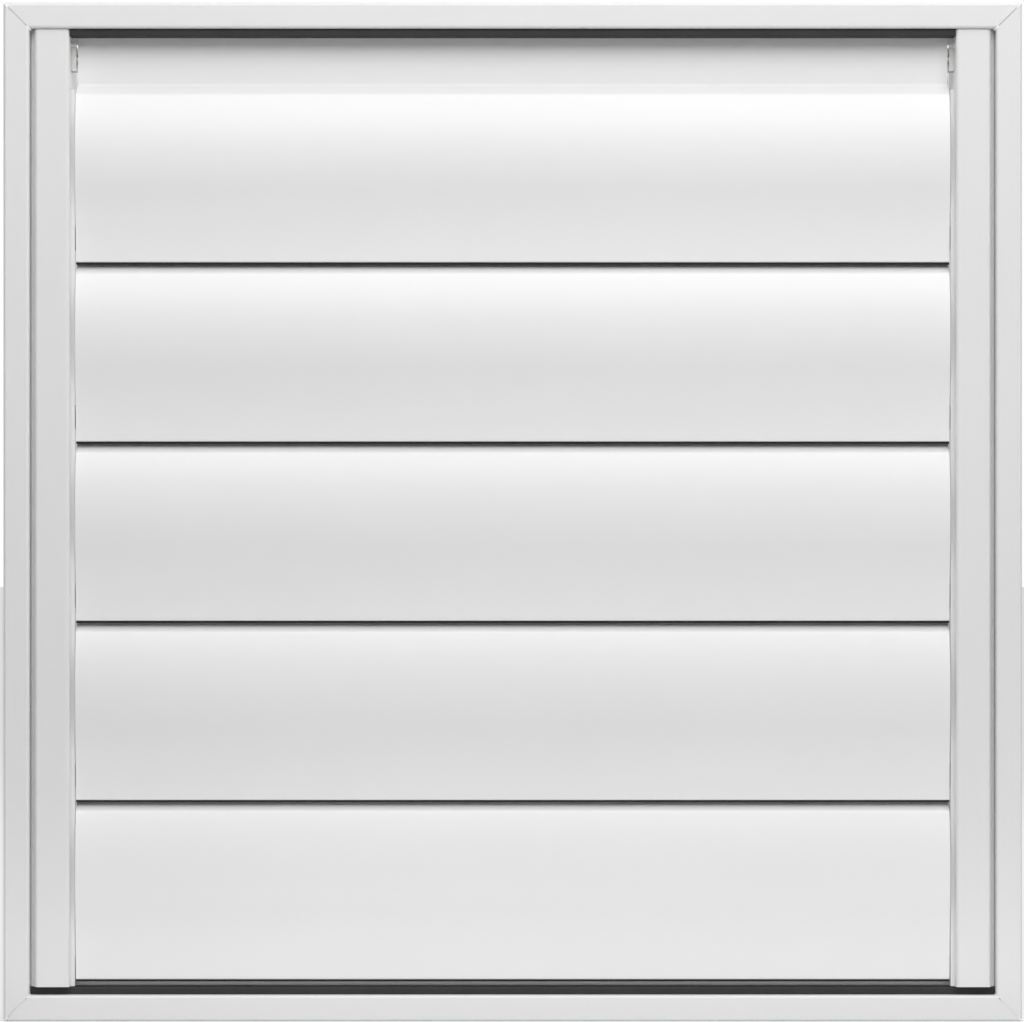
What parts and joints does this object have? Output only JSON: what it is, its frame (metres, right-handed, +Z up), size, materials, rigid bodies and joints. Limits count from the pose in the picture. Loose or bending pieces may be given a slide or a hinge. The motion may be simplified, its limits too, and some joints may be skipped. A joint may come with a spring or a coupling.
{
  "type": "gravity exhaust shutter",
  "caption": "Square white wall exhaust shutter: mitred flanged frame, side pivot rails and overlapping curved blades that swing out together on a tie bar and close by gravity.",
  "frame": {"origin": "centre of the wall opening, in the plane of the wall's outer face, which the flange's rim meets", "axes": "+X to the right seen from outdoors, +Y into the wall, +Z up"},
  "size_m": [0.4572, 0.046, 0.4572],
  "materials": {
    "white_enamel": "satin",
    "mill_aluminium": "satin",
    "zinc_steel": "satin",
    "nylon": "satin",
    "black_rubber": "matte"
  },
  "bodies": {
    "frame": {"head_rail": "white_enamel", "sill_rail": "white_enamel", "left_stile": "white_enamel", "right_stile": "white_enamel", "corner_key_1": "mill_aluminium", "corner_key_2": "mill_aluminium", "corner_key_3": "mill_aluminium", "corner_key_4": "mill_aluminium", "left_pivot_rail": "white_enamel", "right_pivot_rail": "white_enamel", "left_rail_rivets": "mill_aluminium", "right_rail_rivets": "mill_aluminium", "sill_stop_rivets": "mill_aluminium", "sill_stop": "white_enamel", "head_seal": "black_rubber", "sill_seal": "black_rubber", "left_bush_1": "nylon", "left_bush_2": "nylon", "left_bush_3": "nylon", "left_bush_4": "nylon", "left_bush_5": "nylon", "right_bush_1": "nylon", "right_bush_2": "nylon", "right_bush_3": "nylon", "right_bush_4": "nylon", "right_bush_5": "nylon"},
    "leaf_1": {"blade_1": "white_enamel", "blade_seal_1": "black_rubber", "link_lug_1": "mill_aluminium", "link_pin_1": "zinc_steel", "left_pin_1": "zinc_steel", "right_pin_1": "zinc_steel"},
    "leaf_2": {"blade_2": "white_enamel", "blade_seal_2": "black_rubber", "link_lug_2": "mill_aluminium", "link_pin_2": "zinc_steel", "left_pin_2": "zinc_steel", "right_pin_2": "zinc_steel"},
    "leaf_3": {"blade_3": "white_enamel", "blade_seal_3": "black_rubber", "link_lug_3": "mill_aluminium", "link_pin_3": "zinc_steel", "left_pin_3": "zinc_steel", "right_pin_3": "zinc_steel"},
    "leaf_4": {"blade_4": "white_enamel", "blade_seal_4": "black_rubber", "link_lug_4": "mill_aluminium", "link_pin_4": "zinc_steel", "left_pin_4": "zinc_steel", "right_pin_4": "zinc_steel"},
    "leaf_5": {"blade_5": "white_enamel", "blade_seal_5": "black_rubber", "link_lug_5": "mill_aluminium", "link_pin_5": "zinc_steel", "left_pin_5": "zinc_steel", "right_pin_5": "zinc_steel"},
    "link": {"tie_bar": "mill_aluminium"}
  },
  "joints": [
    {"name": "leaf_1_swing", "type": "hinge", "parent": "frame", "child": "leaf_1", "pos_m": [0, 0.01117, 0.2042], "axis": [-1, 0, 0], "range_deg": [0, 70]},
    {"name": "leaf_2_swing", "type": "hinge", "parent": "frame", "child": "leaf_2", "pos_m": [0, 0.01117, 0.1235], "axis": [-1, 0, 0], "range_deg": [0, 70]},
    {"name": "leaf_3_swing", "type": "hinge", "parent": "frame", "child": "leaf_3", "pos_m": [0, 0.01117, 0.0428], "axis": [-1, 0, 0], "range_deg": [0, 70]},
    {"name": "leaf_4_swing", "type": "hinge", "parent": "frame", "child": "leaf_4", "pos_m": [0, 0.01117, -0.0379], "axis": [-1, 0, 0], "range_deg": [0, 70]},
    {"name": "leaf_5_swing", "type": "hinge", "parent": "frame", "child": "leaf_5", "pos_m": [0, 0.01117, -0.1186], "axis": [-1, 0, 0], "range_deg": [0, 70]},
    {"name": "link_pivot", "type": "hinge", "parent": "leaf_3", "child": "link", "pos_m": [0, 0.02957, 0.051], "axis": [-1, 0, 0], "range_deg": [-70, 0]}
  ],
  "couplings": [
    {"joint": "leaf_1_swing", "follows": "leaf_3_swing", "ratio": 1},
    {"joint": "leaf_2_swing", "follows": "leaf_3_swing", "ratio": 1},
    {"joint": "leaf_4_swing", "follows": "leaf_3_swing", "ratio": 1},
    {"joint": "leaf_5_swing", "follows": "leaf_3_swing", "ratio": 1},
    {"joint": "link_pivot", "follows": "leaf_3_swing", "ratio": -1}
  ]
}
